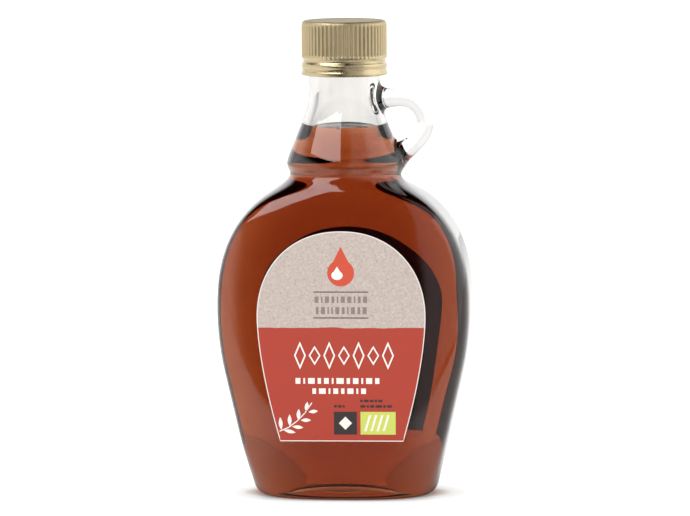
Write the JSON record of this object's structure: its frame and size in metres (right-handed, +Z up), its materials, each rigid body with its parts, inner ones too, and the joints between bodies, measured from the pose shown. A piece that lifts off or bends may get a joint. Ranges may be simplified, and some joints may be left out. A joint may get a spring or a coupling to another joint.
{
  "type": "maple syrup bottle",
  "caption": "Flat oval glass bottle with a small loop handle at the neck, filled with maple syrup, with a ribbed metal cap and paper labels on the front and back.",
  "frame": {"origin": "centre of the base, at the height that the bottle stands on", "axes": "+Z up, -Y out of the broad front face, +X towards the loop handle"},
  "size_m": [0.0832, 0.0464, 0.1565],
  "materials": {
    "clear_glass": "clear pressed glass, glossy",
    "maple_syrup": "clear amber liquid, seen through the glass",
    "gold_aluminium": "gold lacquered, satin",
    "printed_paper": "matt printed paper, grey above and red below",
    "plain_paper": "matt printed paper"
  },
  "bodies": {
    "root": {"bottle": "clear_glass", "syrup": "maple_syrup", "cap": "gold_aluminium", "label_front": "printed_paper", "label_back": "plain_paper"}
  },
  "joints": []
}
